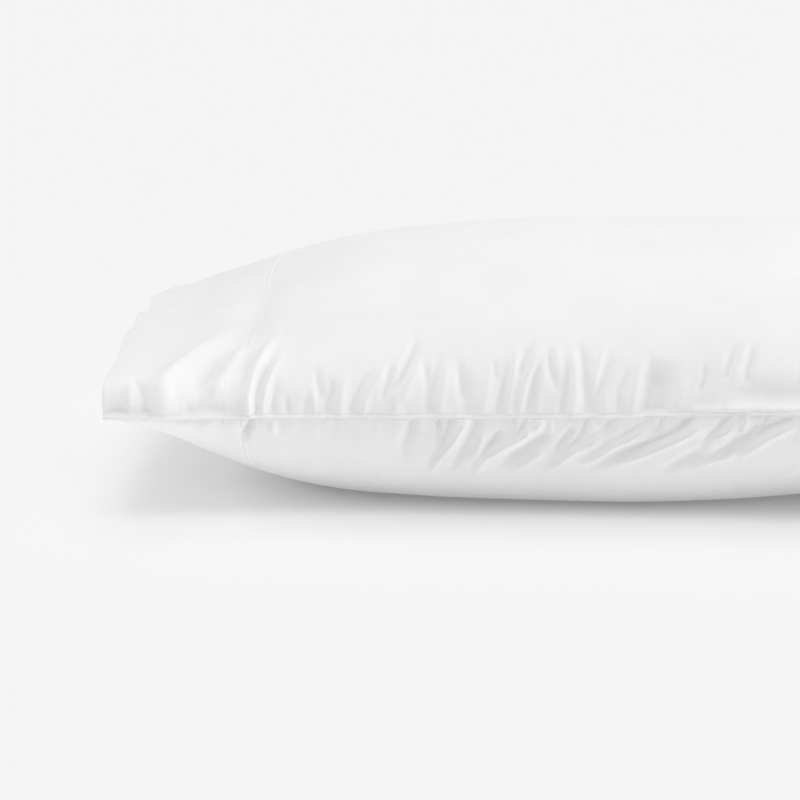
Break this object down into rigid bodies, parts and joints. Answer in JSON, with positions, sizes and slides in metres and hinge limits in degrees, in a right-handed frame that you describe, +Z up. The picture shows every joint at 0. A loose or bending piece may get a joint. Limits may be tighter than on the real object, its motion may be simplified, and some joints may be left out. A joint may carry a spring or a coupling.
{
  "type": "filled cotton pillowcase with an open hemmed end",
  "caption": "Plain white cotton pillowcase on its pillow, lying on its back, with a deep hem round its open end and small folds along its side seams.",
  "frame": {"origin": "on the floor, under the middle of the bounding box", "axes": "+Z up from the floor, +X along the case from its open hem to its closed end, +Y across it from one side seam to the other"},
  "size_m": [0.7366, 0.508, 0.1859],
  "materials": {
    "cotton": "white combed cotton, plain woven, pressed, with a very soft sheen"
  },
  "bodies": {
    "root": {"pillowcase": "cotton"}
  },
  "joints": []
}
